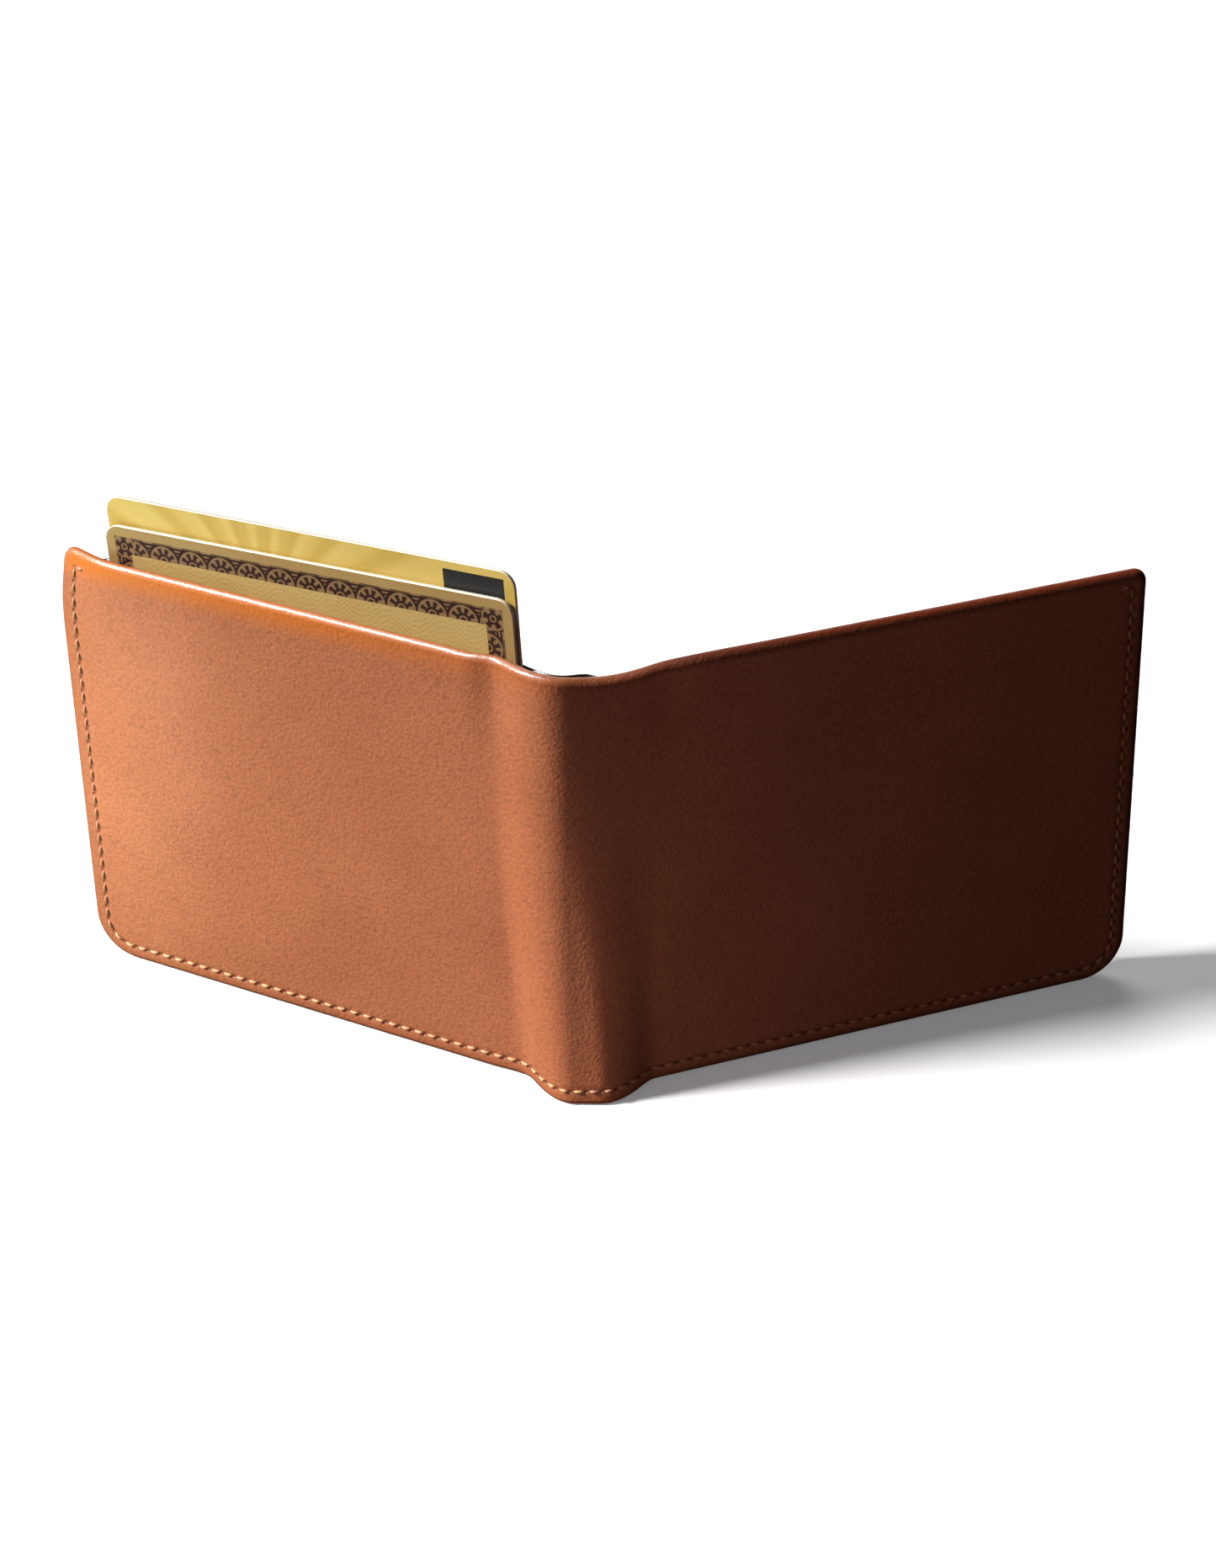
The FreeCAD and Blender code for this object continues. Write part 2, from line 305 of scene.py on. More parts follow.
def add_object(name, points, faces, materials, uvs=None, material_of_face=None, attributes=None):
    mesh = bpy.data.meshes.new(name)
    mesh.from_pydata(np.asarray(points).tolist(), [], faces)
    for material in materials:
        mesh.materials.append(material)
    if material_of_face is not None:
        mesh.polygons.foreach_set("material_index", material_of_face)
    if uvs is not None:
        layer = mesh.uv_layers.new(name="skin")
        layer.data.foreach_set("uv", np.asarray(uvs, dtype=np.float32).ravel())
    for key, values in (attributes or {}).items():
        mesh.attributes.new(key, "FLOAT", "POINT").data.foreach_set(
            "value", np.asarray(values, dtype=np.float32))
    mesh.update()
    obj = bpy.data.objects.new(name, mesh)
    bpy.context.scene.collection.objects.link(obj)
    return obj


def tidy_mesh(obj, close=False, smooth_angle=40.0):
    """Closes an open end, turns every face outwards and shades the gentle edges smooth."""
    made = bmesh.new()
    made.from_mesh(obj.data)
    if close:
        rim = [edge for edge in made.edges if edge.is_boundary]
        bmesh.ops.holes_fill(made, edges=rim, sides=0)
    bmesh.ops.recalc_face_normals(made, faces=made.faces)
    for face in made.faces:
        face.smooth = True
    limit = math.radians(smooth_angle)
    for edge in made.edges:
        edge.smooth = edge.is_manifold and edge.calc_face_angle(math.pi) < limit
    made.to_mesh(obj.data)
    made.free()
    return obj


class Outline:
    """A sheet's edge in its half's own coordinates, with the two corners of the free side round."""

    def __init__(self, start, end, foot, top, foot_radius, top_radius, closed=False):
        self.start, self.end, self.foot, self.top = start, end, foot, top
        self.foot_radius, self.top_radius, self.closed = foot_radius, top_radius, closed

    def grid(self, inset, columns, turns, middle, extra=()):
        """Along and height of a grid of points that fills the outline drawn in by inset. turns counts
        the rows at the two corners, middle those between them, and extra names more heights."""
        tiny = 0.05 * MM
        foot_radius = max(self.foot_radius - inset, tiny)
        top_radius = max(self.top_radius - inset, tiny)
        angles = [np.linspace(0, math.pi / 2, count) for count in turns]
        foot_z = self.foot + inset + foot_radius * (1 - np.cos(angles[0]))
        foot_end = self.end - inset - foot_radius * (1 - np.sin(angles[0]))
        top_z = (self.top - inset - top_radius * (1 - np.cos(angles[1])))[::-1]
        top_end = (self.end - inset - top_radius * (1 - np.sin(angles[1])))[::-1]
        mid_z = np.sort(np.append(np.linspace(foot_z[-1], top_z[0], middle)[1:-1], extra))
        mid_end = np.full(len(mid_z), self.end - inset)
        z = np.concatenate([foot_z, mid_z, top_z])[:, None]
        end = np.concatenate([foot_end, mid_end, top_end])[:, None]
        start = self.start + (inset if self.closed else 0.0)
        return start + (end - start) * columns[None, :], np.broadcast_to(z, (len(z), len(columns)))

    def edge_distance(self, along, z, with_top=True):
        """How far inside the edge a point is."""
        distance = np.minimum(self.end - along, z - self.foot)
        corners = [(self.foot_radius, self.foot + self.foot_radius - z)]
        if with_top:
            distance = np.minimum(distance, self.top - z)
            corners.append((self.top_radius, z - self.top + self.top_radius))
        for radius, beyond in corners:
            across = along - self.end + radius
            in_corner = (across > 0) & (beyond > 0)
            distance = np.where(in_corner, radius - np.hypot(across, beyond), distance)
        return distance


def loop_of(grid, closed):
    """The grid's border as a list of (row, column) pairs."""
    rows, columns = grid.shape
    border = [(0, c) for c in range(columns)]
    border += [(r, columns - 1) for r in range(1, rows)]
    border += [(rows - 1, c) for c in range(columns - 2, -1, -1)]
    if closed:
        border += [(r, 0) for r in range(rows - 2, 0, -1)]
    return border


def bands(rings, closed=True):
    """Quads that join each ring to the next. A ring is a list of anything, such as point numbers."""
    count = len(rings[0])
    return [[low[k], low[(k + 1) % count], high[(k + 1) % count], high[k]]
            for low, high in zip(rings, rings[1:]) for k in range(count if closed else count - 1)]


def flat_places(side, along, z):
    """Where points lie in the flat skin, in millimetres, with the left half's places negative."""
    return np.stack([SIDES[side] * along, z], axis=-1) / MM


class Sheet:
    """The points and faces of a sheet with thickness, layer by layer from its outer face round the
    edge to its inner face."""

    def __init__(self, closed):
        self.closed = closed
        self.points, self.rims, self.faces, self.uvs, self.rings = [], [], [], [], []

    def add_face(self, placed, rim, flat):
        """A whole face, from grids of its points, their rim values and their flat places."""
        index = np.arange(rim.size).reshape(rim.shape) + len(self.points)
        self.points.extend(placed.reshape(-1, 3))
        self.rims.extend(rim.ravel())
        self.add_bands(index.tolist(), flat, False)
        self.rings.append([int(index[b]) for b in loop_of(rim, self.closed)])

    def add_ring(self, placed, rim):
        """Only the border of such grids."""
        border = loop_of(rim, self.closed)
        first = len(self.points)
        self.points.extend(placed[b] for b in border)
        self.rims.extend(rim[b] for b in border)
        self.rings.append(list(range(first, first + len(border))))

    def join(self, flat_ring):
        """Joins each ring to the next. In the flat skin, each lies outside the last by the run to it."""
        outward = flat_ring - flat_ring.mean(axis=0)
        outward /= np.linalg.norm(outward, axis=1)[:, None]
        flats = [flat_ring]
        for low, high in zip(self.rings, self.rings[1:]):
            steps = np.array([self.points[b] - self.points[a] for a, b in zip(low, high)])
            flats.append(flats[-1] + outward * (np.linalg.norm(steps, axis=1)[:, None] / MM))
        self.add_bands(self.rings, flats, self.closed)

    def add_bands(self, rings, flats, closed):
        self.faces.extend(bands(rings, closed))
        self.uvs.extend(corner for quad in bands(flats, closed) for corner in quad)


def build_sheet(name, side, outline, columns, layers, materials, cover=False, seam=None,
                **grid_options):
    """A sheet as an object. Each layer is (inset, depth), and depth may be a function of along and z.
    The first and the last are whole faces, and those between are rings. seam marks the first face
    with its stitches."""
    sheet = Sheet(outline.closed)
    for order, (inset, depth) in enumerate(layers):
        along, z = outline.grid(inset, columns, **grid_options)
        level = depth(along, z) if callable(depth) else depth
        placed = place(side, along, level, z, cover)
        rim = np.clip(1 - outline.edge_distance(along, z) / RIM_REACH, 0, 1)
        if order in (0, len(layers) - 1):
            sheet.add_face(placed, rim, flat_places(side, along, z))
        else:
            sheet.add_ring(placed, rim)
    along, z = outline.grid(layers[0][0], columns, **grid_options)
    flat = flat_places(side, along, z)
    sheet.join(np.array([flat[b] for b in loop_of(along, outline.closed)]))
    attributes = {"rim": sheet.rims}
    if seam:
        marks = np.full((2, len(sheet.points)), FAR_FROM_SEAM)
        marks[:, :along.size] = [values.ravel() for values in seam.locate(along, z)]
        attributes["stitch"], attributes["seam_off"] = marks
    obj = add_object(name, sheet.points, sheet.faces, materials, sheet.uvs, attributes=attributes)
    return tidy_mesh(obj, close=not outline.closed)


def bend_over_fold(obj):
    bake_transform(obj)


# ---- Materials

class Graph:
    """The nodes of one material. A value is a number, a red, green and blue, or another's output."""

    def __init__(self, name):
        self.material = bpy.data.materials.new(name)
        self.material.use_nodes = True
        self.tree = self.material.node_tree
        self.tree.nodes.clear()

    def node(self, kind, inputs=None, **settings):
        made = self.tree.nodes.new("ShaderNode" + kind)
        for key, value in settings.items():
            setattr(made, key, value)
        for key, value in (inputs or {}).items():
            self.put(made.inputs[key], value)
        return made

    def put(self, socket, value):
        if isinstance(value, bpy.types.NodeSocket):
            self.tree.links.new(value, socket)
        elif socket.type == "RGBA":
            socket.default_value = (*value, 1.0)
        else:
            socket.default_value = value

    def math(self, operation, a, b=0.0):
        return self.node("Math", {0: a, 1: b}, operation=operation).outputs[0]

    def plus(self, a, b):
        return self.math("ADD", a, b)

    def minus(self, a, b):
        return self.math("SUBTRACT", a, b)

    def times(self, a, b):
        return self.math("MULTIPLY", a, b)

    def near(self, value, middle, reach):
        """1 where value is within reach of middle, and 0 elsewhere."""
        return self.math("LESS_THAN", self.math("ABSOLUTE", self.minus(value, middle)), reach)

    def mix(self, factor, a, b, blend="MIX"):
        return self.node("Mix", {0: factor, 6: a, 7: b}, data_type="RGBA", blend_type=blend).outputs[2]

    def scaled(self, value, low, high, to_low, to_high):
        return self.node("MapRange", {"Value": value, "From Min": low, "From Max": high,
                                      "To Min": to_low, "To Max": to_high}).outputs[0]

    def spread(self, noise, low=0.0, high=1.0):
        """A noise, whose values are mostly from 0.3 to 0.7, spread from low to high."""
        return self.scaled(noise, 0.3, 0.7, low, high)

    def skin(self):
        return self.node("UVMap", uv_map="skin").outputs[0]

    def attribute(self, name):
        return self.node("Attribute", attribute_name=name).outputs["Fac"]

    def stretched(self, vector, scale, turn=0.0):
        made = self.node("Mapping", {"Vector": vector, "Scale": scale, "Rotation": (0, 0, turn)})
        return made.outputs[0]

    def noise(self, vector, scale, detail=2.0, roughness=0.5):
        return self.node("TexNoise", {"Vector": vector, "Scale": scale, "Detail": detail,
                                      "Roughness": roughness}).outputs[0]

    def bump(self, height, distance, strength=1.0, normal=None):
        inputs = {"Height": height, "Distance": distance, "Strength": strength}
        if normal is not None:
            inputs["Normal"] = normal
        return self.node("Bump", inputs).outputs[0]

    def finish(self, **inputs):
        shader = self.node("BsdfPrincipled", {k.replace("_", " "): v for k, v in inputs.items()})
        self.node("OutputMaterial", {"Surface": shader.outputs[0]})
        return self.material


def grain_height(g, skin, cell):
    """Fine pebbled grain: rounded cells with creases between them. cell is their size in millimetres."""
    warp = g.node("TexNoise", {"Vector": skin, "Scale": 1.1 / cell, "Detail": 2.0})
    drift = g.node("VectorMath", {0: warp.outputs["Color"], 1: (0.55 * cell,) * 3}, operation="MULTIPLY")
    moved = g.node("VectorMath", {0: skin, 1: drift.outputs[0]}, operation="ADD").outputs[0]
    cells = g.node("TexVoronoi", {"Vector": moved, "Scale": 1.0 / cell}, feature="SMOOTH_F1")
    pebbles = g.minus(1.0, cells.outputs["Distance"])
    fine = g.noise(skin, 3.2 / cell, 3.0, 0.6)
    creases = g.noise(g.stretched(skin, (1.2, 0.9, 1.0), 0.3), 0.8 / cell, 3.0, 0.6)
    height = g.plus(g.times(pebbles, 0.55), g.times(fine, 0.25))
    return g.plus(height, g.scaled(creases, 0.0, 1.0, 0.125, 0.325))


def radius_from(g, across, up):
    return g.math("SQRT", g.plus(g.times(across, across), g.times(up, up)))


def seam_marks(g):
    """The needle holes, and the line where the thread pulls the leather in, both darkened as painted
    shade.
    """
    off = g.attribute("seam_off")
    from_hole = g.times(g.math("PINGPONG", g.attribute("stitch"), 0.5), PITCH / MM)
    hole = g.scaled(radius_from(g, from_hole, off), HOLE * 0.6, HOLE, 1.0, 0.0)
    return hole, g.scaled(g.math("ABSOLUTE", off), 0.2, 0.75, 1.0, 0.0)


def hide_colour_and_shade(g, skin, height, mottled):
    """Two close browns in soft clouds, with flecks of a third, and painted shade in the grain's creases.
    """
    cloudy = g.noise(skin, 0.05, 3.0, 0.55)
    base = g.mix(g.spread(cloudy), (0.44, 0.142, 0.056), (0.50, 0.170, 0.070))
    base = g.mix(g.scaled(mottled, 0.35, 0.65, 0.0, 0.25), base, (0.42, 0.125, 0.044))
    # Painted shade in the grain's creases and a little painted light on its tops, from its height
    shade = g.scaled(height, 0.35, 0.8, 0.72, 1.1)
    return g.mix(1.0, base, g.node("CombineColor", {0: shade, 1: shade, 2: shade}).outputs[0],
                 "MULTIPLY")


def edge_tints_and_shade(g, side, base, from_spine, from_foot):
    """The base colour with the rim's tint, partly painted shade, and the top band's painted light and
    shade.
    """
    rim_tint_and_shade = g.mix(g.scaled(from_spine, *RIM_RUN, 0.0, 1.0), RIM_TINT_AND_SHADE["left"], RIM_TINT_AND_SHADE[side])
    base = g.mix(g.scaled(g.attribute("rim"), 0.1, 0.9, 0.0, RIM_COVER[side]), base, rim_tint_and_shade)
    band_foot, band_top = (HEIGHT / MM - below for below in TOP_BAND[side])
    near_top = g.times(g.scaled(from_foot, band_foot, band_top, 0.0, 0.92),
                       g.scaled(from_spine, *TOP_RUN, 0.1, 1.0))
    return g.mix(near_top, base, TOP_LIGHT_AND_SHADE[side])


def tan_leather(side):
    """One half's leather, lit on the left and shaded on the right, with edge tints and the seam's painted
    shade.
    """
    g = Graph("tan_leather_" + side)
    skin = g.skin()
    height = grain_height(g, skin, TAN_GRAIN)
    mottled = g.noise(skin, 0.5, 3.0, 0.6)
    from_spine, from_foot = g.node("SeparateXYZ", {"Vector": skin}).outputs[:2]
    from_spine = g.math("ABSOLUTE", from_spine)
    base = edge_tints_and_shade(g, side, hide_colour_and_shade(g, skin, height, mottled), from_spine, from_foot)
    hole, groove_shade = seam_marks(g)
    # Painted shade in the seam's groove and in the needle holes
    base = g.mix(g.times(groove_shade, 0.3), base, (0.25, 0.06, 0.018))
    base = g.mix(g.times(hole, 0.75), base, (0.23, 0.060, 0.022))
    dented = g.bump(g.minus(1.0, hole), 0.14 * MM)
    return g.finish(Base_Color=base, Roughness=g.spread(mottled, 0.46, 0.56),
                    Normal=g.bump(height, 0.17 * MM, 1.0, dented),
                    Coat_Weight=g.scaled(from_spine, *GLOSS_RUN, COAT["spine"], COAT[side]),
                    Coat_Roughness=0.17, Coat_Normal=g.bump(height, 0.09 * MM),
                    Specular_IOR_Level=g.scaled(from_spine, *GLOSS_RUN, SHINE["spine"], SHINE[side]))


def black_leather():
    g = Graph("black_leather")
    skin = g.skin()
    height = grain_height(g, skin, BLACK_GRAIN)
    mottled = g.noise(skin, 0.4, 3.0, 0.6)
    base = g.mix(g.spread(mottled), (0.009, 0.009, 0.010), (0.016, 0.016, 0.018))
    # Paler towards the rim: a painted highlight on the rounded edge
    base = g.mix(g.scaled(g.attribute("rim"), 0.3, 1.0, 0.0, 0.5), base, (0.022, 0.021, 0.021))
    return g.finish(Base_Color=base, Roughness=g.spread(mottled, 0.3, 0.4),
                    Normal=g.bump(height, 0.035 * MM, 0.7), Coat_Weight=0.35, Coat_Roughness=0.2)


def woven_lining():
    g = Graph("woven_lining")
    skin = g.skin()
    warp, weft = (g.math("SINE", g.times(way, 2 * math.pi / WEAVE))
                  for way in g.node("SeparateXYZ", {"Vector": skin}).outputs[:2])
    weave = g.times(warp, weft)
    base = g.mix(g.scaled(weave, -1.0, 1.0, 0.0, 1.0), (0.010, 0.010, 0.012), (0.024, 0.024, 0.027))
    return g.finish(Base_Color=base, Roughness=g.spread(g.noise(skin, 0.6, 2.0), 0.65, 0.8),
                    Normal=g.bump(weave, 0.04 * MM, 0.8), Sheen_Weight=0.3)


def thread(name, dark, light):
    g = Graph(name)
    fibres = g.noise(g.stretched(g.skin(), (1.0, 7.0, 1.0)), 3.0, 3.0, 0.6)
    return g.finish(Base_Color=g.mix(g.spread(fibres), dark, light),
                    Roughness=g.spread(fibres, 0.42, 0.6), Normal=g.bump(fibres, 0.03 * MM),
                    Sheen_Weight=0.25)


def fibre_board():
    g = Graph("fibre_board")
    specks = g.noise(g.skin(), 1.8, 4.0, 0.65)
    base = g.mix(g.spread(specks), (0.32, 0.22, 0.13), (0.46, 0.34, 0.21))
    return g.finish(Base_Color=base, Roughness=g.spread(specks, 0.8, 0.95),
                    Normal=g.bump(specks, 0.05 * MM))


def strip_leather():
    g = Graph("strip_leather")
    where = g.node("TexCoord").outputs["Object"]
    specks = g.noise(where, 2200.0, 3.0, 0.6)
    base = g.mix(g.spread(specks), (0.010, 0.010, 0.011), (0.02, 0.019, 0.019))
    return g.finish(Base_Color=base, Roughness=g.spread(specks, 0.45, 0.6),
                    Normal=g.bump(specks, 0.03 * MM))


def card_core():
    g = Graph("card_core")
    specks = g.noise(g.skin(), 2.0, 2.0)
    base = g.mix(specks, (0.74, 0.66, 0.50), (0.84, 0.78, 0.66))
    return g.finish(Base_Color=base, Roughness=g.spread(specks, 0.35, 0.45))


def stripes(g, value, period, low=-0.1, high=0.1):
    """1 on every other stripe of value, and 0 between them."""
    return g.scaled(g.math("SINE", g.times(value, 2 * math.pi / period)), low, high, 0.0, 1.0)


def printed_card(name, paint):
    """A card's face. paint returns the print's colour from the place across and up, in millimetres."""
    g = Graph(name)
    skin = g.skin()
    base = paint(g, skin, *g.node("SeparateXYZ", {"Vector": skin}).outputs[:2])
    smudges = g.noise(skin, 0.25, 4.0, 0.6)
    return g.finish(Base_Color=base, Roughness=g.spread(smudges, 0.34, 0.46),
                    Specular_IOR_Level=0.3, Coat_Weight=0.08, Coat_Roughness=0.12)


def petals(g, across, up, radii, count):
    """A flower or fan about a point: an eye, a ring of petals and a rim, at three radii."""
    radius = radius_from(g, across, up)
    angle = g.math("ARCTAN2", up, across)
    eye = g.near(radius, radii[0], 0.16)
    leaf = g.times(stripes(g, angle, 2 * math.pi / count, -0.1, 0.5), g.near(radius, radii[1], 0.55))
    rim = g.near(radius, radii[2], 0.2)
    return g.math("MAXIMUM", g.math("MAXIMUM", rim, eye), leaf)


def border_ornament(g, run, in_band, from_side, from_top):
    """Fans along the band with hanging points between them, and a flower at each corner."""
    between_fans = g.math("PINGPONG", run, FAN / 2)
    fan = petals(g, between_fans, g.minus(BAND, in_band), (0.75, 2.0, 2.75), 9.0)
    far = g.minus(FAN / 2, between_fans)
    hanging = g.math("LESS_THAN", g.plus(g.times(far, 1.6), in_band), 1.9)
    hanging = g.times(hanging, stripes(g, in_band, 0.75, 0.0, 0.4))
    middle = MARGIN + 0.58 * BAND
    flower = petals(g, g.minus(from_side, middle), g.minus(from_top, middle), (0.55, 1.7, 2.2), 5.0)
    corner = g.math("LESS_THAN", g.math("MAXIMUM", from_side, from_top), MARGIN + 1.25 * BAND)
    return g.mix(corner, g.math("MAXIMUM", fan, hanging), flower)


def dark_band(g, u, v, in_band, from_side, from_top):
    """The band's colour: dark, with its ornament and a thin rule in gold."""
    along_top = g.math("LESS_THAN", from_top, from_side)
    run = g.plus(g.times(along_top, u), g.times(g.minus(1.0, along_top), v))
    ornament = border_ornament(g, run, in_band, from_side, from_top)
    band = g.mix(g.times(ornament, 0.75), (0.030, 0.012, 0.009), (0.33, 0.20, 0.085))
    return g.mix(g.times(g.near(in_band, 0.22, 0.07), 0.5), band, (0.33, 0.22, 0.095))


def wavy_field(g, u, v, blotches):
    """The field's colour: gold with two sets of fine waves."""
    wave = g.times(g.math("SINE", g.times(u, 0.8)), 1.1)
    counter = g.times(g.math("SINE", g.times(u, 0.55)), 1.6)
    lines = g.math("MAXIMUM", stripes(g, g.plus(v, wave), 0.85, 0.3, 0.9),
                   stripes(g, g.minus(v, counter), 1.1, 0.3, 0.9))
    ground = g.mix(blotches, (0.42, 0.285, 0.08), (0.50, 0.36, 0.13))
    return g.mix(g.times(lines, 0.45), ground, (0.62, 0.47, 0.19))


def paint_front(g, skin, u, v):
    """A gold card with a dark ornamental border round a field of fine wavy lines."""
    from_side = g.math("PINGPONG", u, CARD_LENGTH / 2 / MM)
    from_top = g.math("PINGPONG", v, CARD_HEIGHT / 2 / MM)
    in_band = g.minus(g.math("MINIMUM", from_side, from_top), MARGIN)
    blotches = g.noise(skin, 0.12, 3.0)
    margin = g.mix(blotches, (0.34, 0.215, 0.075), (0.42, 0.28, 0.10))
    inside = g.mix(g.math("GREATER_THAN", in_band, BAND),
                   dark_band(g, u, v, in_band, from_side, from_top), wavy_field(g, u, v, blotches))
    return g.mix(g.math("GREATER_THAN", in_band, 0.0), margin, inside)


def paint_rear(g, skin, u, v):
    """A bright gold card with soft rays and a dark patch near its inner end."""
    angle = g.math("ARCTAN2", g.minus(v, RAY_FOOT[1]), g.minus(u, RAY_FOOT[0]))
    broad = g.math("SINE", g.times(angle, 20.0))
    narrow = g.math("SINE", g.times(angle, 43.0))
    rays = g.scaled(g.plus(broad, g.times(narrow, 0.4)), -1.0, 1.0, 0.0, 1.0)
    gold = g.mix(rays, (0.58, 0.40, 0.085), (0.70, 0.51, 0.14))
    patch = g.times(g.near(u, PATCH_PLACE[0], PATCH / 2), g.near(v, PATCH_PLACE[1], PATCH / 2))
    fine = stripes(g, g.plus(u, v), 1.3)
    dark = g.mix(g.times(fine, 0.4), (0.022, 0.022, 0.020), (0.05, 0.05, 0.045))
    return g.mix(patch, gold, dark)


def paint_back(g, skin, u, v):
    """The back of a card: pale, with a dark magnetic stripe and a paler signing strip."""
    ground = g.mix(g.noise(skin, 0.3, 3.0), (0.50, 0.40, 0.20), (0.56, 0.46, 0.25))
    base = g.mix(g.near(v, *MAGNETIC_STRIPE), ground, (0.02, 0.018, 0.016))
    signing = g.times(g.near(v, *SIGNING_STRIP), g.math("LESS_THAN", u, SIGNING_END))
    return g.mix(signing, base, (0.78, 0.76, 0.70))


# ---- Leather and lining

COVER = Outline(0.0, FREE_EDGE, 0.0, HEIGHT, FOOT_RADIUS, TOP_RADIUS)


def columns_to(end, *runs):
    """Column places from 0 to 1 across the length end. Each run is (from, to, count), in millimetres."""
    places = np.unique(np.concatenate([np.linspace(*run) for run in runs]).round(3)) * MM
    return np.clip(places / end, 0.0, 1.0)


def turned_edge(low, thick, rim, steps=7):
    """Layers that carry a sheet from its outer face at depth low round a half-round edge."""
    layers = []
    for turn in np.linspace(0, math.pi, steps):
        add = thick / 2 * (1 - math.cos(turn))
        level = (lambda along, z, add=add: low(along, z) + add) if callable(low) else low + add
        layers.append((rim * (1 - math.sin(turn)), level))
    return layers


def cover_skin(along, z):
    """How the cover's outer face departs from a plane: a groove at the seam and a slight waviness."""
    off = COVER.edge_distance(along, z, with_top=False) - SEAM_INSET
    sewn = 1 - rise(z, HEIGHT - 3.5 * MM, HEIGHT - 2.0 * MM)
    groove = GROOVE * np.exp(-(off / (0.6 * MM)) ** 2) * sewn
    inside = rise(COVER.edge_distance(along, z), RIM, 14 * MM) * rise(along, 6 * MM, 22 * MM)
    waves = np.sin(along / (15 * MM) + 0.8) * np.sin(z / (12 * MM) + 0.4)
    waves = waves + 0.5 * np.sin(along / (7 * MM) - z / (9 * MM))
    return groove + WAVINESS * waves * inside


def build_cover(side, seam, leather):
    end = FREE_EDGE / MM
    columns = columns_to(FREE_EDGE, MIDDLE_COLUMNS, (0.6, 17, 29), (18, end - 6, 42),
                         (end - 5.5, end, 20))
    layers = turned_edge(0.0, COVER_THICK, RIM)
    layers[0] = (RIM, cover_skin)
    layers += [
        (HEM_WIDTH - HEM_SKIVE[0], COVER_THICK),
        (HEM_WIDTH, COVER_THICK - HEM_SKIVE[1]),
        (HEM_WIDTH, HEM_INNER),
        (RIM + HEM_FOLD, HEM_INNER),
        (RIM, LEATHER),
    ]
    obj = build_sheet("cover_leather_" + side, side, COVER, columns, layers, [leather],
                      cover=True, seam=seam, turns=(34, 10), middle=56)
    bend_over_fold(obj)
    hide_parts("outer_cover_" + side, "spine_cover")


def build_board(side, fibre):
    """The board inside the cover: thin under the turned hem and full thickness inside it."""
    inset = LEATHER + EDGE_PLAY
    outline = Outline(FOLD_LINE + FOLD_GAP, FREE_EDGE - inset, inset, HEIGHT - inset,
                      FOOT_RADIUS - inset, TOP_RADIUS - inset)
    length = (outline.end - outline.start) / MM
    columns = columns_to(outline.end - outline.start, (0, length, 40))
    field = HEM_WIDTH + EDGE_PLAY - inset
    layers = [(0.0, LEATHER), (0.0, HEM_INNER), (field, HEM_INNER), (field, COVER_THICK)]
    obj = build_sheet("stiffening_board_" + side, side, outline, columns, layers, [fibre],
                      turns=(10, 5), middle=24)
    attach(obj, side + "_half")
    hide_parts("cover_board_" + side)


def build_lining(side, fabric):
    outline = Outline(0.0, FREE_EDGE - EDGE_DROP, EDGE_DROP, HEIGHT - HEM_WIDTH,
                      FOOT_RADIUS - EDGE_DROP, 0.3 * MM)
    length = outline.end / MM
    columns = columns_to(outline.end, MIDDLE_COLUMNS, (1, 17, 17), (20, length, 30))
    obj = build_sheet("pocket_lining_" + side, side, outline, columns,
                      [(0.0, LINING_DEPTH), (0.0, FLANGE_DEPTH)], [fabric], turns=(14, 3), middle=24)
    bend_over_fold(obj)
    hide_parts("cash_lining_" + side, "spine_lining")


def divider_level(side):
    """The depth of the divider's outer side: flat at the seam, then rising to the raised field."""
    def level(along, z):
        field = DIVIDER_DEPTH[side] - DIVIDER_SPINE_DEPTH
        raised = DIVIDER_SPINE_DEPTH + field * rise(along, 1.0 * MM, 12.5 * MM)
        wall = rise(COVER.edge_distance(along, z, with_top=False), 3.7 * MM, 6.3 * MM)
        return FLANGE_DEPTH + (raised - FLANGE_DEPTH) * wall
    return level


def build_divider(side, leather):
    outline = Outline(0.0, FREE_EDGE - EDGE_DROP, EDGE_DROP, DIVIDER_TOP,
                      FOOT_RADIUS - EDGE_DROP, 0.6 * MM)
    length = outline.end / MM
    columns = columns_to(outline.end, MIDDLE_COLUMNS, (0.7, 17, 24), (19, length - 7, 34),
                         (length - 6.6, length, 18))
    layers = turned_edge(divider_level(side), DIVIDER_THICK, 0.3 * MM)
    obj = build_sheet("pocket_divider_" + side, side, outline, columns, layers, [leather],
                      turns=(24, 6), middle=40)
    bend_over_fold(obj)
    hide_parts("divider_" + side, "spine_divider")


def slot_depth(side, index):
    return DIVIDER_DEPTH[side] + DIVIDER_THICK + SLOT_GAP + index * SLOT_PITCH


def build_slots(side, leather):
    for index, name in enumerate(SLOT_NAMES):
        node = "card_slot_" + name + "_" + side
        foot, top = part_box(node)[0].z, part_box(node)[1].z
        outline = Outline(SLOT_START, SLOT_END, foot, top, 0.5 * MM, 0.5 * MM, closed=True)
        depth = slot_depth(side, index)
        length = (SLOT_END - SLOT_START) / MM
        columns = columns_to(SLOT_END - SLOT_START, (0, 3, 4), (6, length - 6, 9),
                             (length - 3, length, 4))
        layers = turned_edge(depth, SLOT_THICK, 0.25 * MM)

        def creased(along, z, depth=depth, top=top):
            crease = np.exp(-((top - z - CREASE) / (0.3 * MM)) ** 2)
            return depth + SLOT_THICK - 0.12 * MM * crease
        layers[-1] = (0.25 * MM, creased)
        crease_rows = top - np.linspace(0.8, 2.6, 13) * MM
        obj = build_sheet("slot_leather_" + name + "_" + side, side, outline, columns, layers,
                          [leather], turns=(4, 4), middle=20, extra=crease_rows)
        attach(obj, side + "_half")
        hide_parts(node)


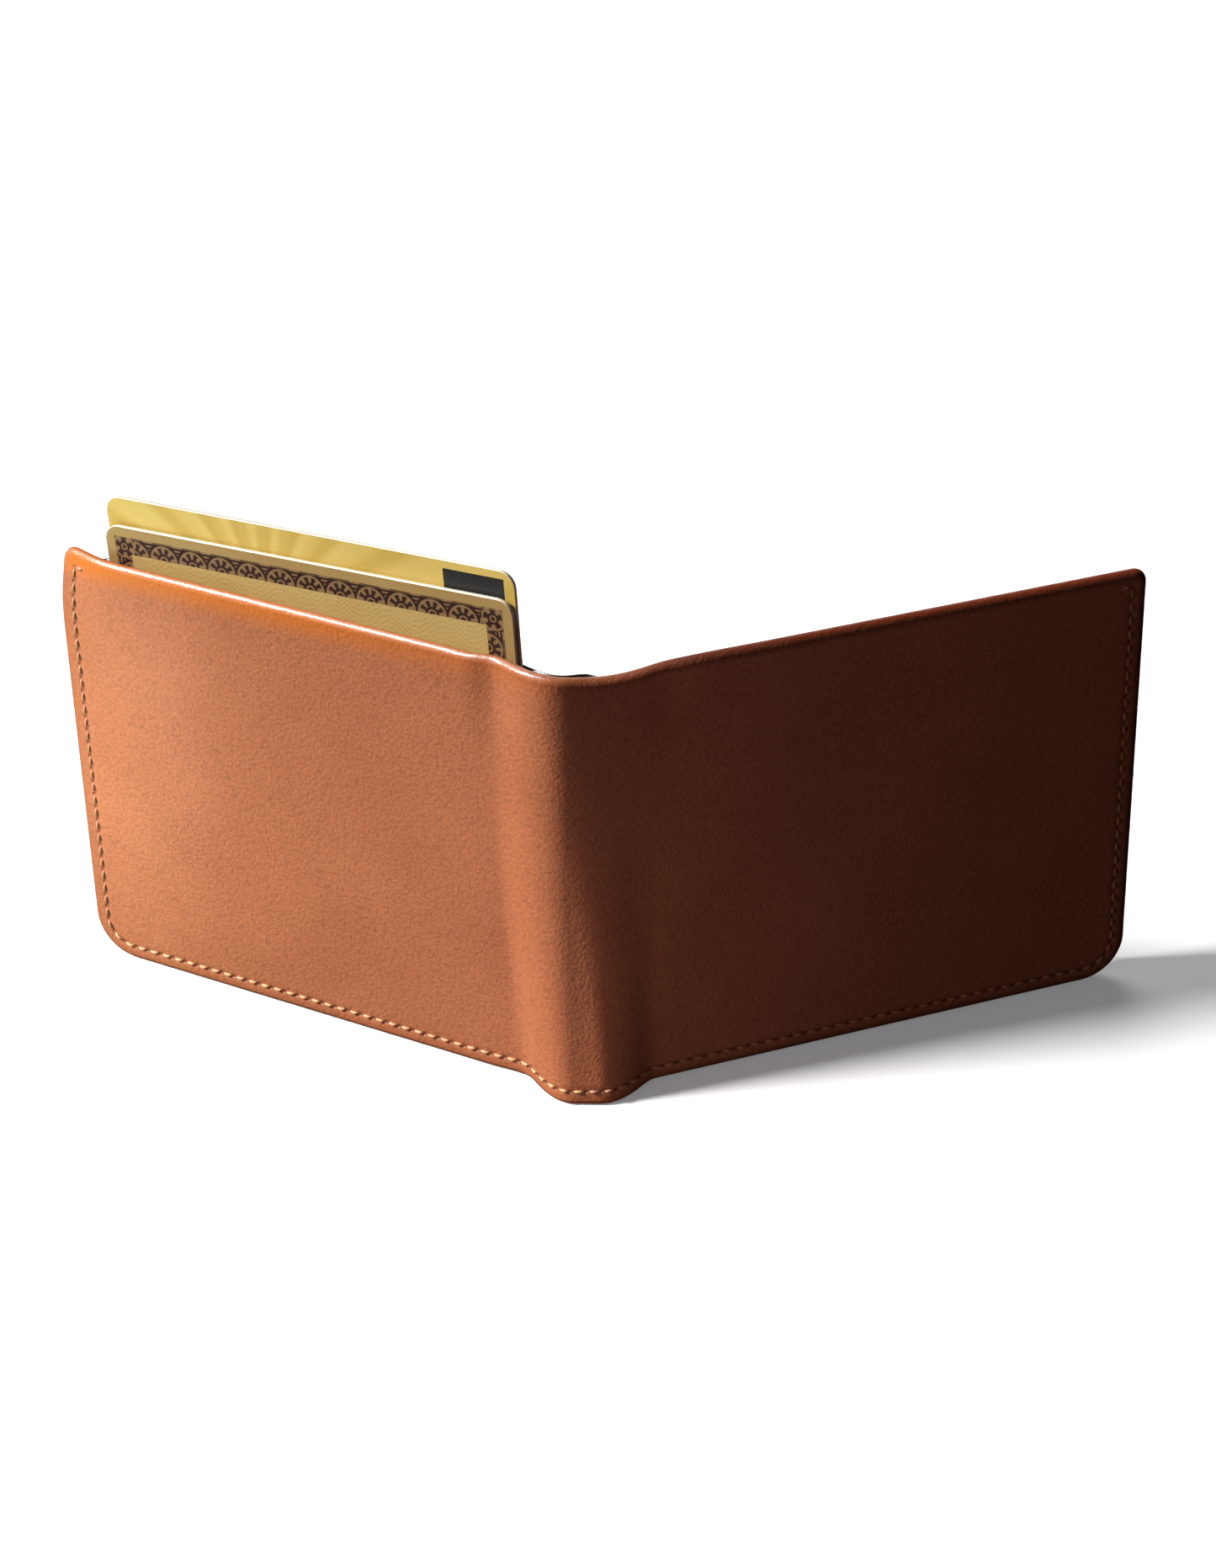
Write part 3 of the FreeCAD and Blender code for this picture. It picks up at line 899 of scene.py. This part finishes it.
def build_hidden_pocket(leather):
    low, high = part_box("hidden_pocket")
    start = FOLD_LINE + HIDDEN_START
    outline = Outline(start, FOLD_LINE + HIDDEN_END, low.z, high.z, 0.4 * MM, 0.4 * MM,
                      closed=True)
    columns = columns_to(outline.end - start, (0, 90, 12), (91, (outline.end - start) / MM, 2))
    layers = turned_edge(HIDDEN_DEPTH, HIDDEN_THICK, 0.22 * MM)
    obj = build_sheet("inner_card_pocket", "left", outline, columns, layers, [leather],
                      turns=(4, 4), middle=30)
    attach(obj, "left_half")
    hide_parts("hidden_pocket")


# ---- Stitches

class Seam:
    """The stitched line of one half: from the spine's middle along the foot, round the corner, up the
    free side, and inwards again at the top. Places on it are measured as flat lengths."""

    def __init__(self, side, depth, top, cover):
        self.side, self.depth, self.top, self.cover = side, depth, top, cover
        self.radius = FOOT_RADIUS - SEAM_INSET
        self.straight = FREE_EDGE - FOOT_RADIUS
        self.turn = self.radius * math.pi / 2
        self.flat_end = self.straight + self.turn + top - FOOT_RADIUS
        self.flat = np.linspace(0.0, self.flat_end + 4 * MM, 2400)
        along, z, _, _ = self.at(self.flat)
        points = place(side, along, depth, z, cover)
        steps = np.linalg.norm(np.diff(points, axis=0), axis=1)
        self.length = np.concatenate([[0.0], np.cumsum(steps)])
        whole = np.interp(self.flat_end, self.flat, self.length)
        self.count = round(whole / PITCH)
        self.pitch = whole / self.count

    def at(self, flat):
        """Along, height, and the direction in along and height."""
        first = flat < self.straight
        turning = (flat - self.straight) / self.radius
        second = ~first & (turning < math.pi / 2)
        upwards = flat - self.straight - self.turn
        fourth = flat > self.flat_end
        angle = np.where(first, 0.0, np.minimum(turning, math.pi / 2))
        along = np.where(first, flat, self.straight + self.radius * np.sin(angle))
        z = np.where(first, SEAM_INSET, SEAM_INSET + self.radius * (1 - np.cos(angle)))
        z = np.where(first | second, z, FOOT_RADIUS + upwards)
        inwards = np.where(fourth, flat - self.flat_end, 0.0)
        along, z = along - inwards, np.where(fourth, self.top, z)
        ahead = np.where(fourth, -1.0, np.cos(angle))
        up = np.where(fourth, 0.0, np.sin(angle))
        return along, z, ahead, up

    def locate(self, along, z):
        """How many stitches along the seam a point of the cover is, and how far off it."""
        across, below = along - self.straight, FOOT_RADIUS - z
        corner = (across > 0) & (below > 0)
        by_foot = z < FREE_EDGE - along
        straight = np.where(by_foot, along, self.straight + self.turn - below)
        turned = self.straight + self.radius * np.arctan2(across, below)
        flat = np.where(corner, turned, straight)
        off = np.where(corner, self.radius - np.hypot(across, below),
                       np.where(by_foot, z, FREE_EDGE - along) - SEAM_INSET)
        over = np.maximum(flat - self.flat_end, 0.0)
        return np.interp(flat, self.flat, self.length) / self.pitch, np.hypot(off, over) / MM

    def stitch(self, middle, shape, inwards):
        """One stitch: the shape's points (ahead, across, up) laid on the seam about a length along it."""
        flat = np.interp(middle + shape[:, 0], self.length, self.flat)
        along, z, ahead, up = self.at(flat)
        depth = self.depth + (shape[:, 2] if inwards else -shape[:, 2])
        along = along - shape[:, 1] * up
        z = z + shape[:, 1] * ahead
        return place(self.side, along, depth, z, self.cover)


def stitch_shape(longer=1.0, wider=1.0, higher=1.0, stations=9, around=8):
    """A stitch's points, faces and flat places: a plump twisted bead whose ends dip into the leather.
    The first three scale the cover's own stitch."""
    length, width, high = STITCH_LENGTH * longer, STITCH_WIDTH * wider, STITCH_HIGH * higher
    points, uvs = [], []
    for t in np.linspace(-1, 1, stations):
        girth = width / 2 * (1 - abs(t) ** 3 * 0.55)
        middle = (high + STITCH_SINK) * math.cos(t * math.pi / 2) ** 0.8 - STITCH_SINK - girth * 0.5
        for k in range(around):
            turn = 2 * math.pi * k / around
            plies = 1 + 0.13 * math.cos(2 * turn - 5.0 * t)
            points.append((t * length / 2, girth * plies * math.cos(turn),
                           middle + girth * plies * math.sin(turn)))
            uvs.append((t * length / 2 / MM, k * width / around / MM))
    rings = [range(first, first + around) for first in range(0, len(points), around)]
    return np.array(points), bands(rings) + [list(reversed(rings[0])), list(rings[-1])], uvs


def sew(name, sewn, shape, materials, kinds=None):
    """Joins many stitches into one object. sewn is a list of arrays of points, and kinds says which
    material each stitch has."""
    _, faces, uvs = shape
    points, all_faces, all_uvs = [], [], []
    for number, placed in enumerate(sewn):
        first = len(points)
        points.extend(placed)
        for face in faces:
            all_faces.append([first + k for k in face])
            all_uvs.extend((uvs[k][0] + 3.1 * number, uvs[k][1]) for k in face)
    kinds = np.zeros(len(sewn), int) if kinds is None else kinds
    obj = add_object(name, points, all_faces, materials, all_uvs, np.repeat(kinds, len(faces)))
    return tidy_mesh(obj, smooth_angle=80.0)


def sew_row(name, seam, shape, inwards, materials, change_at=math.inf):
    """A whole row of stitches. From the length change_at on they have the second material."""
    middles = (np.arange(seam.count + 1) + 0.5) * seam.pitch
    sewn = [seam.stitch(middle, shape[0], inwards) for middle in middles]
    return sew(name, sewn, shape, materials, (middles >= change_at).astype(int))


def build_seam(side, seam, threads, black):
    """Both rows of the seam. The cover's thread is painted darker, as shade, up the left free side and
    all along the right half.
    """
    upright = np.interp(seam.straight + SHADED_TURN * seam.turn, seam.flat, seam.length)
    outside = sew_row("seam_stitches_" + side, seam, stitch_shape(), False, threads, upright)
    bend_over_fold(outside)
    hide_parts("seam_thread_" + side, "seam_thread_spine")

    inner = Seam(side, FLANGE_DEPTH + DIVIDER_THICK, DIVIDER_TOP - SEAM_INSET, False)
    shape = stitch_shape(wider=0.85)
    inside = sew_row("inner_stitches_" + side, inner, shape, True, [black])
    bend_over_fold(inside)


def build_slot_stitches(side, black):
    """The stitched line beside the spine, where it shows on each slot."""
    shape = stitch_shape(0.85, 0.8, 0.9)
    boxes = [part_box("card_slot_" + name + "_" + side) for name in SLOT_NAMES]
    feet = [box[1].z for box in boxes[1:]] + [boxes[-1][0].z]
    sewn = []
    for index, foot in enumerate(feet):
        top = boxes[index][1].z
        face = slot_depth(side, index) + SLOT_THICK
        sewn_height = top - foot - sum(SLOT_SEAM_GAPS)
        count = round(sewn_height / PITCH)
        pitch = sewn_height / count
        for number in range(count):
            ahead, across, up = shape[0].T
            z = foot + SLOT_SEAM_GAPS[0] + (number + 0.5) * pitch + ahead
            sewn.append(place(side, SLOT_START + SLOT_SEAM + across, face + up, z))
    obj = sew("slot_stitches_" + side, sewn, shape, [black])
    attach(obj, side + "_half")
    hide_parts("slot_thread_" + side)


# ---- Cards

def rounded_card(inset):
    """A card's edge, drawn in by inset, as points across and up from its lower left corner."""
    points = []
    radius = CARD_RADIUS - inset
    for number, (right, top) in enumerate(((1, 0), (1, 1), (0, 1), (0, 0))):
        x = right * CARD_LENGTH + (1 - 2 * right) * CARD_RADIUS
        y = top * CARD_HEIGHT + (1 - 2 * top) * CARD_RADIUS
        for step in range(9):
            turn = math.radians(-90 + 90 * number + 90 * step / 8)
            points.append((x + radius * math.cos(turn), y + radius * math.sin(turn)))
    return np.array(points)


def card_points(node, layers):
    """A card's points layer by layer, each (inset, depth), and their places on its face."""
    tilt = math.radians(CARD_TILTS[node])
    corner = CARD_CORNERS[node]
    points, flats = [], []
    for inset, depth in layers:
        flat = rounded_card(inset)
        across = CARD_LENGTH - flat[:, 0]
        down = CARD_HEIGHT - flat[:, 1]
        along = corner[0] + across * math.cos(tilt) - down * math.sin(tilt)
        z = corner[2] - across * math.sin(tilt) - down * math.cos(tilt)
        points.extend(place("left", along, corner[1] + depth, z, stiff=True))
        flats.extend(flat / MM)
    return points, flats


def build_card(node, materials):
    """A card in the same place as its CAD node. The materials are its face, its back and its edge."""
    layers = ((CARD_BEVEL, 0.0), (0.0, CARD_BEVEL), (0.0, CARD_THICK - CARD_BEVEL),
              (CARD_BEVEL, CARD_THICK))
    points, flats = card_points(node, layers)
    count = len(points) // len(layers)
    rings = [range(first, first + count) for first in range(0, len(points), count)]
    edge = bands(rings)
    faces = [list(rings[0]), list(reversed(rings[-1]))] + edge
    kinds = [0, 1] + [2] * len(edge)
    corner_uvs = [flats[k] for polygon in faces for k in polygon]
    obj = add_object("printed_" + node, points, faces, materials, corner_uvs, kinds)
    tidy_mesh(obj, smooth_angle=30.0)
    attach(obj, node)
    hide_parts(node)


# ---- The whole wallet

def build_wallet():
    gold = thread("gold_thread", (0.60, 0.25, 0.075), (0.84, 0.43, 0.17))
    # The same thread painted darker, as shade
    shaded = thread("shaded_thread", (0.36, 0.14, 0.045), (0.50, 0.22, 0.08))
    threads = {"left": [gold, shaded], "right": [shaded, shaded]}
    black = thread("black_thread", (0.008, 0.008, 0.009), (0.03, 0.03, 0.032))
    inner, fabric = black_leather(), woven_lining()
    board, strip = fibre_board(), strip_leather()
    for side in SIDES:
        seam = Seam(side, 0.0, HEIGHT - SEAM_INSET, True)
        build_cover(side, seam, tan_leather(side))
        build_lining(side, fabric)
        build_divider(side, inner)
        build_slots(side, inner)
        build_seam(side, seam, threads[side], black)
        build_slot_stitches(side, black)
        build_board(side, board)
        dress("slot_seams_" + side, strip)
    build_hidden_pocket(inner)
    dress("hidden_pocket_seams", strip)
    core = card_core()
    back = printed_card("card_back", paint_back)
    build_card("card_front", [printed_card("card_front_print", paint_front), back, core])
    build_card("card_rear", [printed_card("card_rear_print", paint_rear), back, core])


def dress(node, material):
    """Gives a CAD node that keeps its shape a better material."""
    mesh = bpy.data.objects[node].data
    mesh.materials.clear()
    mesh.materials.append(material)


# ---- Camera, floor and light

def camera_matrix():
    yaw, pitch, roll = (math.radians(angle) for angle in CAMERA_TURN)
    forward = Vector((math.cos(pitch) * math.sin(yaw), math.cos(pitch) * math.cos(yaw),
                      -math.sin(pitch)))
    level_right = Vector((math.cos(yaw), -math.sin(yaw), 0.0))
    level_up = level_right.cross(forward)
    right = level_right * math.cos(roll) + level_up * math.sin(roll)
    up = level_up * math.cos(roll) - level_right * math.sin(roll)
    turned = Matrix((right, up, -forward)).transposed().to_4x4()
    turned.translation = Vector(CAMERA_PLACE) * MM
    return turned


def set_camera():
    data = bpy.data.cameras.new("camera")
    data.lens = CAMERA_LENS
    data.sensor_width = CAMERA_SENSOR
    data.clip_start, data.clip_end = CAMERA_CLIP
    camera = bpy.data.objects.new("camera", data)
    camera.matrix_world = camera_matrix()
    bpy.context.scene.collection.objects.link(camera)
    bpy.context.scene.camera = camera


def hide_from(obj, rays):
    """Hides an object from some kinds of rays."""
    for kind in rays:
        setattr(obj, "visible_" + kind, False)


def lay_floor():
    material = Graph("pale_floor").finish(
        Base_Color=FLOOR_WHITE, Roughness=0.9, Specular_IOR_Level=0.1,
        Emission_Color=FLOOR_SHADE, Emission_Strength=FLOOR_GLOW)
    half = FLOOR_SIZE / 2
    ends = ((-half, -half), (half, -half), (half, half), (-half, half))
    floor = add_object("floor", [(*end, -FLOOR_DROP) for end in ends], [[0, 1, 2, 3]], [material])
    hide_from(floor, ("diffuse", "glossy"))


def add_lamp(kind, name, energy, tint, hidden_from, source, aim=(0.0, 0.0, 0.0)):
    """A lamp at source that shines towards aim."""
    data = bpy.data.lights.new(name, kind)
    data.energy = energy
    data.color = tint
    lamp = bpy.data.objects.new(name, data)
    lamp.location = source
    lamp.rotation_euler = (Vector(source) - Vector(aim)).to_track_quat("Z", "Y").to_euler()
    hide_from(lamp, hidden_from)
    bpy.context.scene.collection.objects.link(lamp)
    return data


def add_sun(name, towards, energy, softness, tint, hidden_from):
    azimuth, elevation = (math.radians(angle) for angle in towards)
    source = (-math.cos(elevation) * math.cos(azimuth), -math.cos(elevation) * math.sin(azimuth),
              math.sin(elevation))
    sun = add_lamp("SUN", name, energy, tint, hidden_from, source)
    sun.angle = math.radians(softness)


def add_panel(name, source, aim, size, energy, tint, hidden_from):
    panel = add_lamp("AREA", name, energy, tint, hidden_from, Vector(source) * MM, Vector(aim) * MM)
    panel.shape = "RECTANGLE"
    panel.size, panel.size_y = size


def set_lights():
    for name, settings in SUNS.items():
        add_sun(name, *settings)
    for name, settings in PANELS.items():
        add_panel(name, *settings)
    world = bpy.data.worlds.new("studio")
    world.use_nodes = True
    background = world.node_tree.nodes["Background"]
    background.inputs["Color"].default_value = FILL_TINT
    background.inputs["Strength"].default_value = FILL
    bpy.context.scene.world = world
    bpy.context.scene.view_settings.view_transform = "Standard"


build_wallet()
lay_floor()
set_lights()
set_camera()
